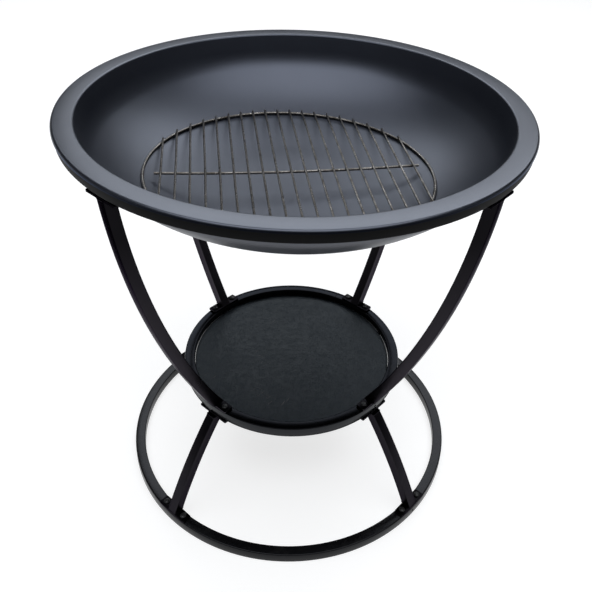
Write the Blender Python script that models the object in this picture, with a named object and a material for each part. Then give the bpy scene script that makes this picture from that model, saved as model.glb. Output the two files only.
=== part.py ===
"""Fire pit: a pressed steel bowl with a flat rim, a welded wire grate inside it,
and a bolted stand of square tube with three rings, curved legs and a shelf.

The origin is on the floor at the centre of the base ring, +Z up, front at -Y.
Lengths are in metres and angles in degrees unless a name says otherwise.
"""
import math

import bmesh
import bpy
from mathutils import Matrix, Vector

# Clearances
TOUCH_GAP = 0.0003
SEAT_GAP = 0.0005
HOLE_CLEARANCE = 0.0003

# Bowl
RIM_RADIUS = 0.300
RIM_TOP = 0.574
RIM_WIDTH = 0.0265
RIM_EDGE = 0.003
RIM_LIP = 0.004
BOWL_FILLET = 0.003
BOWL_DEPTH = 0.117
FLOOR_RADIUS = 0.099
SHOULDER_RADIUS = 0.057
WALL_HEIGHT = 0.021
WALL_ANGLE = 78.0
SHEET = 0.0015

# Square tube of the stand
TUBE = 0.015
TUBE_CORNER = 0.0015
RIM_OVERHANG = 0.0025
MID_RING_RADIUS = 0.163
MID_RING_TOP = 0.1665
BASE_RING_RADIUS = 0.2475

# Legs and their welded end plates
LEG_TURN = 2.5
LEG_AZIMUTHS = {"front_right": -45.0, "back_right": 45.0, "back_left": 135.0, "front_left": -135.0}
UPPER_LEG_BOW = 0.022
LOWER_LEG_BOW = 0.005
PLATE_LENGTH = 0.052
PLATE_THICKNESS = 0.003
PLATE_CORNER = 0.0015
BOLT_SPACING = 0.036
WELD_SINK = 0.0005

# Screws, bolts and nuts
BOLT_RADIUS = 0.0025
HEAD_RADIUS = 0.0042
HEAD_HEIGHT = 0.0026
SCREW_DEPTH = 0.008
NUT_RADIUS = 0.0046
NUT_HEIGHT = 0.0035
BOLT_END = 0.0008

# Vent holes of the closed ring tubes
VENT_RADIUS = 0.002
VENT_DEPTH = 0.002

# Shelf plate
SHELF_RECESS = 0.009
SHELF_THICKNESS = 0.002

# Wire grate, which lies a little off the bowl's centre and so leans on its wall
GRATE_SEAT_RADIUS = 0.1922
GRATE_SHIFT = 0.010
GRATE_SHIFT_AZIMUTH = 216.0
GRATE_RING_WIRE = 0.004
GRATE_WIRE = 0.003
GRATE_WIRE_COUNT = 19
GRATE_WIRE_PAST_RING = 0.0018
GRATE_WIRE_MARGIN = 0.004
GRATE_BAR_OFFSET = -0.0012
GRATE_BAR_INSET = 0.0142
GRATE_BAR_TURN = 2.1
GRATE_TURN = 7.3
GRATE_WELD = 0.0004

# Facets
ROUND_STEPS = 56
DISH_STEPS = 5
SHOULDER_STEPS = 3
ARC_STEPS = 3
CORNER_STEPS = 1
UPPER_LEG_STEPS = 9
LOWER_LEG_STEPS = 5
SMALL_STEPS = 8
WIRE_STEPS = 6

# Heights and radii that follow from the sizes above
TOP_RING_RADIUS = RIM_RADIUS - RIM_OVERHANG
TOP_RING_TOP = RIM_TOP - SHEET - TOUCH_GAP
TOP_RING_BOTTOM = TOP_RING_TOP - TUBE
MID_RING_BOTTOM = MID_RING_TOP - TUBE
BASE_RING_TOP = TUBE
SHELF_TOP = MID_RING_TOP - SHELF_RECESS
HOLE_RADIUS = BOLT_RADIUS + HOLE_CLEARANCE


def clear_scene():
    for obj in list(bpy.data.objects):
        bpy.data.objects.remove(obj, do_unlink=True)


def material(name, color, roughness, metallic):
    made = bpy.data.materials.new(name)
    made.use_nodes = True
    shader = made.node_tree.nodes["Principled BSDF"]
    shader.inputs["Base Color"].default_value = (*color, 1.0)
    shader.inputs["Roughness"].default_value = roughness
    shader.inputs["Metallic"].default_value = metallic
    return made


def mesh_from(bm, name):
    bmesh.ops.recalc_face_normals(bm, faces=bm.faces)
    mesh = bpy.data.meshes.new(name)
    bm.to_mesh(mesh)
    bm.free()
    mesh.shade_smooth()
    mesh.set_sharp_from_angle(angle=math.radians(35))
    return mesh


def place(name, mesh, finish, parent=None):
    obj = bpy.data.objects.new(name, mesh)
    bpy.context.scene.collection.objects.link(obj)
    if not mesh.materials:
        mesh.materials.append(finish)
    obj.parent = parent
    return obj


def combined(mesh, other, operation):
    """The mesh that one exact Boolean leaves, as a new mesh."""
    body = bpy.data.objects.new("body", mesh)
    tool = bpy.data.objects.new("tool", other)
    for obj in (body, tool):
        bpy.context.scene.collection.objects.link(obj)
    step = body.modifiers.new("step", "BOOLEAN")
    step.operation = operation
    step.solver = "EXACT"
    step.object = tool
    seen = body.evaluated_get(bpy.context.evaluated_depsgraph_get())
    result = bpy.data.meshes.new_from_object(seen)
    for obj in (body, tool):
        bpy.data.objects.remove(obj, do_unlink=True)
    bm = bmesh.new()
    bm.from_mesh(result)
    bmesh.ops.remove_doubles(bm, verts=bm.verts, dist=1e-6)
    bmesh.ops.dissolve_degenerate(bm, dist=1e-6, edges=bm.edges)
    return mesh_from(bm, mesh.name)


def turned(profile, name, steps=ROUND_STEPS, closed=True):
    """A body turned about Z from (radius, height) points."""
    bm = bmesh.new()
    corners = [bm.verts.new((radius, 0.0, height)) for radius, height in profile]
    pairs = list(zip(corners, corners[1:]))
    if closed:
        pairs.append((corners[-1], corners[0]))
    edges = [bm.edges.new(pair) for pair in pairs]
    bmesh.ops.spin(
        bm, geom=corners + edges, cent=(0, 0, 0), axis=(0, 0, 1),
        angle=math.tau, steps=steps, use_merge=True, use_duplicate=False,
    )
    bmesh.ops.remove_doubles(bm, verts=bm.verts, dist=1e-6)
    return mesh_from(bm, name)


def arc_points(centre, radius, start, end, steps):
    """Points of an arc in the (radius, height) plane, angles in degrees."""
    points = []
    for index in range(steps + 1):
        angle = math.radians(start + (end - start) * index / steps)
        points.append((centre[0] + radius * math.cos(angle), centre[1] + radius * math.sin(angle)))
    return points


def tube_outline(centre):
    """Section of the square tube in the (radius, height) plane."""
    points = []
    for quarter, (side_x, side_y) in enumerate(((1, 1), (-1, 1), (-1, -1), (1, -1))):
        middle = (
            centre[0] + side_x * (TUBE / 2 - TUBE_CORNER),
            centre[1] + side_y * (TUBE / 2 - TUBE_CORNER),
        )
        points += arc_points(middle, TUBE_CORNER, 90 * quarter, 90 * quarter + 90, CORNER_STEPS)
    return points


def cylinder(radius, low, high, steps=SMALL_STEPS):
    """A bmesh cylinder about Z between two heights."""
    bm = bmesh.new()
    bmesh.ops.create_cone(
        bm, cap_ends=True, segments=steps, radius1=radius, radius2=radius,
        depth=high - low, matrix=Matrix.Translation((0, 0, (low + high) / 2)),
    )
    return bm


def gather(pieces, name):
    """One mesh that holds several bmesh bodies."""
    bm = bmesh.new()
    for piece in pieces:
        scratch = bpy.data.meshes.new("scratch")
        piece.to_mesh(scratch)
        piece.free()
        bm.from_mesh(scratch)
        bpy.data.meshes.remove(scratch)
    return mesh_from(bm, name)


def fillet_tangent():
    """How far the fillet of the rim's inner edge reaches along its two sides."""
    return BOWL_FILLET * math.tan(math.radians(WALL_ANGLE) / 2)


def slope_point(centre, radius, slope):
    """Point of an arc about a centre above it where it leans by the slope, in radians."""
    return centre[0] + radius * math.sin(slope), centre[1] - radius * math.cos(slope)


def bowl_arcs():
    """Centre of the dish arc, its radius, centre of the shoulder arc, and the slope where they meet.

    The dish arc is the one that touches both the level floor and the shoulder arc.
    """
    lean = math.radians(WALL_ANGLE)
    back = fillet_tangent() + WALL_HEIGHT
    shoulder = (
        RIM_RADIUS - RIM_WIDTH - back * math.cos(lean) - SHOULDER_RADIUS * math.sin(lean),
        RIM_TOP - back * math.sin(lean) + SHOULDER_RADIUS * math.cos(lean),
    )
    across = shoulder[0] - FLOOR_RADIUS
    above = shoulder[1] - (RIM_TOP - BOWL_DEPTH)
    dish_radius = (across ** 2 + above ** 2 - SHOULDER_RADIUS ** 2) / (2 * (above - SHOULDER_RADIUS))
    dish = (FLOOR_RADIUS, RIM_TOP - BOWL_DEPTH + dish_radius)
    return dish, dish_radius, shoulder, math.atan2(across, dish_radius - above)


def wall_points(sheet):
    """Points of the wall from the floor's centre to the rim's fillet, the sheet's thickness outside it."""
    dish, dish_radius, shoulder, meet = bowl_arcs()
    lean = math.radians(WALL_ANGLE)
    points = [(0.0, RIM_TOP - BOWL_DEPTH - sheet)]
    for index in range(DISH_STEPS + 1):
        points.append(slope_point(dish, dish_radius + sheet, meet * index / DISH_STEPS))
    for index in range(1, SHOULDER_STEPS + 1):
        slope = meet + (lean - meet) * index / SHOULDER_STEPS
        points.append(slope_point(shoulder, SHOULDER_RADIUS + sheet, slope))
    return points


def wall_height(radius):
    """Height of the inner wall at a radius, along its facets."""
    points = wall_points(0.0)
    points.append((RIM_RADIUS - RIM_WIDTH, RIM_TOP))
    for (inner, low), (outer, high) in zip(points, points[1:]):
        if inner <= radius <= outer:
            return low + (high - low) * (radius - inner) / (outer - inner)
    return RIM_TOP


def wall_slope(radius):
    """Lean of the dish at a radius, in radians from level."""
    dish, dish_radius, _, meet = bowl_arcs()
    across = max(0.0, radius - dish[0])
    return math.asin(min(across / dish_radius, math.sin(meet)))


def bowl_profile():
    """Closed outline of the sheet, from the floor's centre over the rim and back."""
    fillet_centre = (RIM_RADIUS - RIM_WIDTH + fillet_tangent(), RIM_TOP - BOWL_FILLET)
    lip_bottom = RIM_TOP - RIM_LIP
    edge_centre = (RIM_RADIUS - RIM_EDGE, RIM_TOP - RIM_EDGE)
    fillet = arc_points(fillet_centre, BOWL_FILLET, 90 + WALL_ANGLE, 90, ARC_STEPS)
    edge = arc_points(edge_centre, RIM_EDGE, 90, 0, ARC_STEPS)
    under_edge = arc_points(edge_centre, RIM_EDGE - SHEET, 0, 90, ARC_STEPS - 1)
    under_fillet = arc_points(fillet_centre, BOWL_FILLET - SHEET, 90, 90 + WALL_ANGLE, ARC_STEPS)
    lip = [(RIM_RADIUS, lip_bottom), (RIM_RADIUS - SHEET, lip_bottom)]
    return wall_points(0.0) + fillet + edge + lip + under_edge + under_fillet + wall_points(SHEET)[::-1]


def make_bowl(finish, parent):
    mesh = turned(bowl_profile(), "bowl", closed=False)
    return place("bowl", mesh, finish, parent)


def radial_turns():
    """Turn about Z of each leg, by its name."""
    return {name: math.radians(azimuth + LEG_TURN) for name, azimuth in LEG_AZIMUTHS.items()}


def bolt_points(radius):
    """Places of the two bolts of each leg on a ring, with the leg's name and turn."""
    points = []
    for name, turn in radial_turns().items():
        for side, label in ((-1, "a"), (1, "b")):
            at = Matrix.Rotation(turn, 3, "Z") @ Vector((radius, side * BOLT_SPACING / 2, 0.0))
            points.append((name + "_" + label, at.x, at.y, turn))
    return points


def ring_mesh(name, outer_radius, top, holes, vented):
    """A ring of square tube with bolt holes from low to high, and maybe a vent hole."""
    centre = (outer_radius - TUBE / 2, top - TUBE / 2)
    mesh = turned(tube_outline(centre), name)
    drills = []
    for _, x, y, _ in bolt_points(centre[0]):
        drill = cylinder(HOLE_RADIUS, holes[0], holes[1])
        bmesh.ops.translate(drill, verts=drill.verts, vec=(x, y, 0))
        drills.append(drill)
    if vented:
        vent = cylinder(VENT_RADIUS, -VENT_DEPTH, VENT_DEPTH)
        turn = radial_turns()["front_right"]
        lay = Matrix.Rotation(turn, 4, "Z") @ Matrix.Translation((outer_radius, 0, centre[1]))
        bmesh.ops.transform(vent, verts=vent.verts, matrix=lay @ Matrix.Rotation(math.pi / 2, 4, "Y"))
        drills.append(vent)
    return combined(mesh, gather(drills, "drills"), "DIFFERENCE")


def make_rings(finish, parent):
    past = PLATE_THICKNESS
    top_holes = (TOP_RING_BOTTOM - past, TOP_RING_BOTTOM + SCREW_DEPTH + HOLE_CLEARANCE)
    mid_holes = (MID_RING_BOTTOM - past, MID_RING_TOP + past)
    base_holes = (BASE_RING_TOP - SCREW_DEPTH - HOLE_CLEARANCE, BASE_RING_TOP + past)
    for name, radius, top, holes, vented in (
        ("top_ring", TOP_RING_RADIUS, TOP_RING_TOP, top_holes, False),
        ("mid_ring", MID_RING_RADIUS, MID_RING_TOP, mid_holes, True),
        ("base_ring", BASE_RING_RADIUS, BASE_RING_TOP, base_holes, True),
    ):
        place(name, ring_mesh(name, radius, top, holes, vented), finish, parent)


def bent_tube(upper, lower, bow, steps):
    """Open square tube along an arc between two (radius, height) points.

    The arc bulges away from the stand's axis by the bow.
    """
    chord = Vector((lower[0] - upper[0], 0.0, lower[1] - upper[1]))
    half = chord.length / 2
    radius = (half * half + bow * bow) / (2 * bow)
    along = chord.normalized()
    bulge = Vector((-along.z, 0.0, along.x))
    middle = Vector(((upper[0] + lower[0]) / 2, 0.0, (upper[1] + lower[1]) / 2))
    centre = middle + bulge * (bow - radius)
    sweep = 2 * math.asin(half / radius)
    spare = TUBE / radius
    bm = bmesh.new()
    outline = tube_outline((0.0, 0.0))
    corners = [bm.verts.new(middle + bulge * (bow + a) + Vector((0.0, b, 0.0))) for a, b in outline]
    edges = [bm.edges.new(pair) for pair in zip(corners, corners[1:] + corners[:1])]
    turn_back = Matrix.Rotation(-sweep / 2 - spare, 3, "Y")
    bmesh.ops.rotate(bm, verts=corners, cent=centre, matrix=turn_back)
    bmesh.ops.spin(
        bm, geom=corners + edges, cent=centre, axis=(0, 1, 0),
        angle=sweep + 2 * spare, steps=steps, use_duplicate=False,
    )
    return bm


def cut_level(bm, height, keep_below):
    """Cuts a tube level at a height and closes the cut."""
    normal = (0, 0, 1) if keep_below else (0, 0, -1)
    geom = list(bm.verts) + list(bm.edges) + list(bm.faces)
    bmesh.ops.bisect_plane(
        bm, geom=geom, dist=1e-7, plane_co=(0, 0, height), plane_no=normal, clear_outer=True,
    )
    level = [e for e in bm.edges if e.is_boundary and all(abs(v.co.z - height) < 1e-6 for v in e.verts)]
    bmesh.ops.holes_fill(bm, edges=level, sides=0)


def end_plate(radius, low):
    """Welded end plate of a leg, standing on its low face, centred on a ring's radius."""
    bm = bmesh.new()
    shape = Matrix.Diagonal((TUBE, PLATE_LENGTH, PLATE_THICKNESS, 1.0))
    at = Matrix.Translation((radius, 0.0, low + PLATE_THICKNESS / 2))
    bmesh.ops.create_cube(bm, size=1.0, matrix=at @ shape)
    upright = [e for e in bm.edges if abs(e.verts[0].co.z - e.verts[1].co.z) > PLATE_THICKNESS / 2]
    bmesh.ops.bevel(
        bm, geom=upright, offset=PLATE_CORNER, segments=1, profile=0.5, affect="EDGES", material=-1,
    )
    return bm


def leg_mesh(name, upper, lower, bow, steps):
    """A bent leg welded to its two end plates.

    upper and lower are (ring centre radius, outer face height of the end plate).
    """
    top_face = upper[1]
    bottom_face = lower[1]
    tube = bent_tube(upper, lower, bow, steps)
    cut_level(tube, top_face - PLATE_THICKNESS + WELD_SINK, True)
    cut_level(tube, bottom_face + PLATE_THICKNESS - WELD_SINK, False)
    plates = [end_plate(upper[0], top_face - PLATE_THICKNESS), end_plate(lower[0], bottom_face)]
    mesh = combined(mesh_from(tube, name), gather(plates, "plates"), "UNION")
    drills = []
    half = PLATE_THICKNESS / 2
    for radius, middle in ((upper[0], top_face - half), (lower[0], bottom_face + half)):
        for side in (-1, 1):
            drill = cylinder(HOLE_RADIUS, middle - PLATE_THICKNESS, middle + PLATE_THICKNESS)
            bmesh.ops.translate(drill, verts=drill.verts, vec=(radius, side * BOLT_SPACING / 2, 0))
            drills.append(drill)
    return combined(mesh, gather(drills, "drills"), "DIFFERENCE")


def make_legs(finish, parent):
    half = TUBE / 2
    top = (TOP_RING_RADIUS - half, TOP_RING_BOTTOM - TOUCH_GAP)
    mid_over = (MID_RING_RADIUS - half, MID_RING_TOP + TOUCH_GAP)
    mid_under = (MID_RING_RADIUS - half, MID_RING_BOTTOM - TOUCH_GAP)
    base = (BASE_RING_RADIUS - half, BASE_RING_TOP + TOUCH_GAP)
    upper = leg_mesh("upper_leg", top, mid_over, UPPER_LEG_BOW, UPPER_LEG_STEPS)
    lower = leg_mesh("lower_leg", mid_under, base, LOWER_LEG_BOW, LOWER_LEG_STEPS)
    for name, turn in radial_turns().items():
        for label, mesh in (("upper_leg_", upper), ("lower_leg_", lower)):
            leg = place(label + name, mesh, finish, parent)
            leg.rotation_euler.z = turn


def make_shelf(finish, parent):
    radius = MID_RING_RADIUS - TUBE - TOUCH_GAP
    edge = SHELF_THICKNESS / 4
    profile = [
        (0.0, SHELF_TOP),
        (radius - edge, SHELF_TOP),
        (radius, SHELF_TOP - edge),
        (radius, SHELF_TOP - SHELF_THICKNESS + edge),
        (radius - edge, SHELF_TOP - SHELF_THICKNESS),
        (0.0, SHELF_TOP - SHELF_THICKNESS),
    ]
    place("shelf_plate", turned(profile, "shelf_plate", closed=False), finish, parent)


def dome(height):
    """Outline of a pan head above its seat, from the rim to the centre."""
    points = []
    for index in range(ARC_STEPS):
        angle = math.pi / 2 * index / ARC_STEPS
        points.append((HEAD_RADIUS * math.cos(angle), height * math.sin(angle)))
    points.append((0.0, height))
    return points


def screw_mesh(name, length):
    """A dome-head screw, head up, its seat at height 0 and its shank below."""
    shank = [(0.0, -length), (BOLT_RADIUS, -length), (BOLT_RADIUS, 0.0)]
    return turned(shank + dome(HEAD_HEIGHT), name, steps=SMALL_STEPS, closed=False)


def nut_mesh():
    """A hexagon nut that hangs from height 0."""
    body = cylinder(NUT_RADIUS, -NUT_HEIGHT, 0.0, steps=6)
    bore = cylinder(HOLE_RADIUS, -NUT_HEIGHT * 2, NUT_HEIGHT)
    return combined(mesh_from(body, "nut"), gather([bore], "bore"), "DIFFERENCE")


def make_fasteners(finish, parent):
    half = TUBE / 2
    stack = PLATE_THICKNESS + TOUCH_GAP
    seat = TOUCH_GAP
    screw = screw_mesh("ring_screw", SCREW_DEPTH + stack - HOLE_CLEARANCE)
    reach = TUBE + 2 * stack + 2 * seat + NUT_HEIGHT + BOLT_END
    bolt = screw_mesh("through_bolt", reach)
    nut = nut_mesh()
    for label, x, y, turn in bolt_points(TOP_RING_RADIUS - half):
        piece = place("top_screw_" + label, screw, finish, parent)
        piece.location = (x, y, TOP_RING_BOTTOM - stack - seat)
        piece.rotation_euler = (math.pi, 0.0, turn)
    for label, x, y, turn in bolt_points(MID_RING_RADIUS - half):
        piece = place("mid_bolt_" + label, bolt, finish, parent)
        piece.location = (x, y, MID_RING_TOP + stack + seat)
        piece.rotation_euler.z = turn
        holder = place("mid_nut_" + label, nut, finish, parent)
        holder.location = (x, y, MID_RING_BOTTOM - stack - seat)
        holder.rotation_euler.z = turn
    for label, x, y, turn in bolt_points(BASE_RING_RADIUS - half):
        piece = place("base_screw_" + label, screw, finish, parent)
        piece.location = (x, y, BASE_RING_TOP + stack + seat)
        piece.rotation_euler.z = turn


def rod(start, end, diameter, steps=WIRE_STEPS):
    """A straight wire between two points."""
    start = Vector(start)
    end = Vector(end)
    along = end - start
    bm = bmesh.new()
    turn = along.to_track_quat("Z", "Y").to_matrix().to_4x4()
    bmesh.ops.create_cone(
        bm, cap_ends=True, segments=steps, radius1=diameter / 2, radius2=diameter / 2,
        depth=along.length, matrix=Matrix.Translation((start + end) / 2) @ turn,
    )
    return bm


def grate_ring_place():
    """Radius of the grate ring's wire centre, and its height over the circle where it touches."""
    lean = wall_slope(GRATE_SEAT_RADIUS)
    reach = GRATE_RING_WIRE / 2 + SEAT_GAP
    return GRATE_SEAT_RADIUS - reach * math.sin(lean), reach * math.cos(lean)


def grate_pose():
    """Place of the grate at rest: shifted, and leaning so that its ring touches at both ends of the shift."""
    azimuth = math.radians(GRATE_SHIFT_AZIMUTH)
    ahead = wall_height(GRATE_SEAT_RADIUS + GRATE_SHIFT)
    behind = wall_height(GRATE_SEAT_RADIUS - GRATE_SHIFT)
    lean = math.atan2(ahead - behind, 2 * GRATE_SEAT_RADIUS)
    height = (ahead + behind) / 2 + grate_ring_place()[1]
    shift = Vector((math.cos(azimuth), math.sin(azimuth), 0.0)) * GRATE_SHIFT
    across = Vector((math.sin(azimuth), -math.cos(azimuth), 0.0))
    return Matrix.Translation(shift + Vector((0.0, 0.0, height))) @ Matrix.Rotation(lean, 4, across)


def make_grate(finish, parent):
    ring_radius = grate_ring_place()[0]
    circle = arc_points((ring_radius, 0.0), GRATE_RING_WIRE / 2, 0, 360, WIRE_STEPS)[:-1]
    mesh = turned(circle, "grate")
    wire_height = (GRATE_RING_WIRE + GRATE_WIRE) / 2 - GRATE_WELD
    end_radius = ring_radius + GRATE_RING_WIRE / 2 + GRATE_WIRE_PAST_RING
    pitch = 2 * (ring_radius - GRATE_WIRE_MARGIN) / (GRATE_WIRE_COUNT + 1)
    wires = []
    for index in range(GRATE_WIRE_COUNT):
        across = (index - (GRATE_WIRE_COUNT - 1) / 2) * pitch
        reach = math.sqrt(end_radius ** 2 - (abs(across) + GRATE_WIRE / 2) ** 2)
        wires.append(rod((across, -reach, wire_height), (across, reach, wire_height), GRATE_WIRE))
    mesh = combined(mesh, gather(wires, "wires"), "UNION")
    bar_reach = math.sqrt((ring_radius - GRATE_BAR_INSET) ** 2 - GRATE_BAR_OFFSET ** 2)
    bar_turn = Matrix.Rotation(math.radians(GRATE_BAR_TURN), 3, "Z")
    ends = [bar_turn @ Vector((side * bar_reach, GRATE_BAR_OFFSET, 0.0)) for side in (-1, 1)]
    bar = rod(*ends, GRATE_RING_WIRE)
    mesh = combined(mesh, gather([bar], "bar"), "UNION")
    grate = place("grate", mesh, finish, parent)
    grate.matrix_world = grate_pose() @ Matrix.Rotation(math.radians(GRATE_TURN), 4, "Z")


def make_fire_pit():
    clear_scene()
    stand = bpy.data.objects.new("stand", None)
    lift = bpy.data.objects.new("bowl_lift", None)
    for empty in (stand, lift):
        bpy.context.scene.collection.objects.link(empty)
    lift.parent = stand
    bowl_enamel = material("bowl_enamel", (0.075, 0.080, 0.090), 0.45, 0.0)
    black_paint = material("black_paint", (0.012, 0.012, 0.013), 0.50, 0.0)
    shelf_paint = material("shelf_paint", (0.022, 0.024, 0.027), 0.60, 0.0)
    bare_steel = material("bare_steel", (0.16, 0.15, 0.14), 0.45, 1.0)
    black_zinc = material("black_zinc", (0.02, 0.02, 0.02), 0.35, 0.6)
    make_bowl(bowl_enamel, lift)
    make_grate(bare_steel, lift)
    make_rings(black_paint, stand)
    make_legs(black_paint, stand)
    make_shelf(shelf_paint, stand)
    make_fasteners(black_zinc, stand)


make_fire_pit()
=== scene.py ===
"""Looks of the fire pit: finishes, fine shapes, light, floor and camera."""
import math
import random

import bmesh
import bpy
from mathutils import Matrix, Vector


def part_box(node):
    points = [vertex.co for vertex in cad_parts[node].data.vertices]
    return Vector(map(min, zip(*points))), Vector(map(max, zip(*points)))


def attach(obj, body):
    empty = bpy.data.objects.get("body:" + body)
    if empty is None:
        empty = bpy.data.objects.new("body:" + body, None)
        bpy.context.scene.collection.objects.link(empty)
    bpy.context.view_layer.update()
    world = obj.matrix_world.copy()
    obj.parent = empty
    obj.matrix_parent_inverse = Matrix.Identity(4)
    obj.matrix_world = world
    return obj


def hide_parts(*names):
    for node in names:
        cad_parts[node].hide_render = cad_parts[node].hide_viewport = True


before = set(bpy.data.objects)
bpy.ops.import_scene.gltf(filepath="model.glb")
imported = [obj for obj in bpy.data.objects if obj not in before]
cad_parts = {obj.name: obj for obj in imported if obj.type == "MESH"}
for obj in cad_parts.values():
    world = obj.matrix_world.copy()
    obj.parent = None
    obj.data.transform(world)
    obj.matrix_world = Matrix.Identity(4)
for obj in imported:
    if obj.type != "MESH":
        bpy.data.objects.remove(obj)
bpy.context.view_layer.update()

# Camera, from the photograph's ellipses: pixels are in its 592 by 592 frame
PHOTO_SIDE = 592
FOCAL_PIXELS = 761.0
AXIS_PIXEL = (326.0, 206.0)
CAMERA_PLACE = Vector((0.0, -0.8961, 0.9561))
CAMERA_YAW = -2.63
CAMERA_PITCH = 30.70
CAMERA_ROLL = 2.79
SENSOR = 36.0

# Sizes the CAD model was made to
RIM_RADIUS = 0.300
RIM_TOP = 0.574
RIM_WIDTH = 0.0265
RIM_EDGE = 0.0032
RIM_LIP = 0.004
BOWL_FILLET = 0.003
BOWL_DEPTH = 0.117
FLOOR_RADIUS = 0.099
SHOULDER_RADIUS = 0.057
WALL_HEIGHT = 0.021
WALL_ANGLE = 78.0
BOWL_SHEET = 0.0015
TUBE = 0.015
TUBE_CORNER = 0.0018
LEG_TURN = 2.5
LEG_AZIMUTHS = {"front_right": -45.0, "back_right": 45.0, "back_left": 135.0, "front_left": -135.0}
UPPER_LEG_BOW = 0.022
LOWER_LEG_BOW = 0.005
PLATE_LENGTH = 0.052
PLATE_THICKNESS = 0.003
BOLT_RADIUS = 0.0025
HEAD_RADIUS = 0.0042
HEAD_HEIGHT = 0.0026
NUT_RADIUS = 0.0046
NUT_HEIGHT = 0.0035
VENT_RADIUS = 0.002
SHELF_THICKNESS = 0.002
GRATE_SEAT_RADIUS = 0.1922
GRATE_SHIFT = 0.010
GRATE_SHIFT_AZIMUTH = 216.0
GRATE_RING_WIRE = 0.004
GRATE_WIRE = 0.003
GRATE_WIRE_COUNT = 19
GRATE_WIRE_PAST_RING = 0.0018
GRATE_WIRE_MARGIN = 0.004
GRATE_BAR_OFFSET = -0.0012
GRATE_BAR_INSET = 0.0142
GRATE_BAR_TURN = 2.1
GRATE_TURN = 7.3
GRATE_WELD = 0.0004
TOUCH_GAP = 0.0003
SEAT_GAP = 0.0005

# Shapes that the CAD model leaves plain
BEAD_RADIUS = 0.0006
BEAD_RIPPLE = 0.16
BEAD_STRAY = 0.08
SEAM_RADIUS = 0.0006
VENT_BORE = 0.0110
PLATE_BEVEL = 0.0005
PLATE_CORNER = 0.0018
HEAD_BREAK = 0.0002
SHANK_CHAMFER = 0.0005
RECESS_WIDTH = 0.0009
RECESS_LENGTH = 0.0044
RECESS_DEPTH = 0.0013
RECESS_TURN = 0.1
SHELF_WAVE = 0.00035
SHELF_WAVE_TURN = 0.7
SHELF_CROWN = 0.0003
TACK_COUNT = 6
TACK_TURN = 20
TACK_INSET = 0.0004
TACK_LIFT = 0.0002
TACK_SIZE = (0.0017, 0.0045, 0.0012)
BAR_BOW = 0.0080
BAR_SLIMNESS = 0.95
WIRE_STRAY = 0.0005
WIRE_TIP_SWELL = [0.45, 0.8]
CROSSING_LIFT = 0.0002
CROSSING_SIZE = (0.0020, 0.0023, 0.0010)
GRATE_SEAM_AT = (0.34, -0.94)
GRATE_SEAM_SIZE = (0.0034, 0.0026, 0.0024)

# Each ring's name, the azimuth of its tube's seam, and its finish
RINGS = (("top_ring", 98, "band"), ("mid_ring", 62, "mid ring"), ("base_ring", 100, "ring"))

# Where finishes change: distances from the bowl's axis, and heights
LIP_START = RIM_RADIUS - 0.0012
LIP_FULL = RIM_RADIUS - 0.0004
LIP_TOP = RIM_TOP - 0.0016
LIP_DARK = RIM_TOP - 0.0024
BOWL_MOUTH = RIM_RADIUS - RIM_WIDTH
BOWL_BOTTOM = (0.12, 0.24)
LEG_SHADE_HEIGHTS = (0.22, 0.50)

# Colour of ash and dust, and of the legs' painted shade where it is darkest
ASH = (0.16, 0.15, 0.14)
LEG_SHADE_COLOUR = (0.0066, 0.0062, 0.0072)

# Studio
FLOOR_REACH = 14.0
FLOOR_PAINT = (0.40, 0.40, 0.40, 1.0)
FLOOR_GLOW = 0.74
WALL_COLOUR = (0.96, 0.98, 1.0, 1.0)
WALL_FADE = (0.08, 0.26)
WALL_PALE = 0.15
WALL_DIM = 0.06
GROUND_FADE = (-0.02, -0.10)
GROUND_PALE = 0.85

# Each softbox's name, place, aim, width, depth, radiance and colour
SOFTBOXES = (
    ("back_softbox", (0.30, 2.42, 2.75), (0.0, 0.0, 0.5), 3.4, 1.75, 3.3, (0.92, 0.96, 1.0)),
    ("top_softbox", (0.0, -0.9, 3.3), (0.0, -0.6, 0.5), 4.4, 2.8, 2.9, (0.93, 0.96, 1.0)),
)

# Fine facets
BOWL_STEPS = 192
DISH_STEPS = 24
SHOULDER_STEPS = 12
FILLET_STEPS = 8
UNDER_EDGE_STEPS = 6
RING_STEPS = 160
VENT_STEPS = 20
CORNER_STEPS = 4
LEG_STEPS = 28
BEAD_STEPS = 56
HEAD_STEPS = 24
DOME_STEPS = 8
SHELF_STEPS = 96
SHELF_ROUNDS = 16
GRATE_RING_STEPS = 144
BAR_STEPS = 40
WIRE_STEPS = 24
FLOOR_STEPS = 64

SEED = 7


def link(obj):
    bpy.context.scene.collection.objects.link(obj)
    return obj


def finished(bm, name, angle=35.0):
    """A shaded mesh object from a bmesh, at the origin, with its faces pointing out."""
    bmesh.ops.remove_doubles(bm, verts=bm.verts, dist=1e-6)
    bmesh.ops.recalc_face_normals(bm, faces=bm.faces)
    mesh = bpy.data.meshes.new(name)
    bm.to_mesh(mesh)
    bm.free()
    mesh.shade_smooth()
    mesh.set_sharp_from_angle(angle=math.radians(angle))
    return link(bpy.data.objects.new(name, mesh))


def fit(piece, body, finish, slot, *nodes):
    """Gives a piece its body and finish, and lets it stand for CAD nodes. The slot is not used."""
    piece.data.materials.clear()
    piece.data.materials.append(finish)
    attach(piece, body)
    if nodes:
        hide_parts(*nodes)
    return piece


def arc(centre, radius, start, end, steps):
    """Points of an arc in the (radius, height) plane, angles in degrees."""
    points = []
    for index in range(steps + 1):
        angle = math.radians(start + (end - start) * index / steps)
        points.append((centre[0] + radius * math.cos(angle), centre[1] + radius * math.sin(angle)))
    return points


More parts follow.
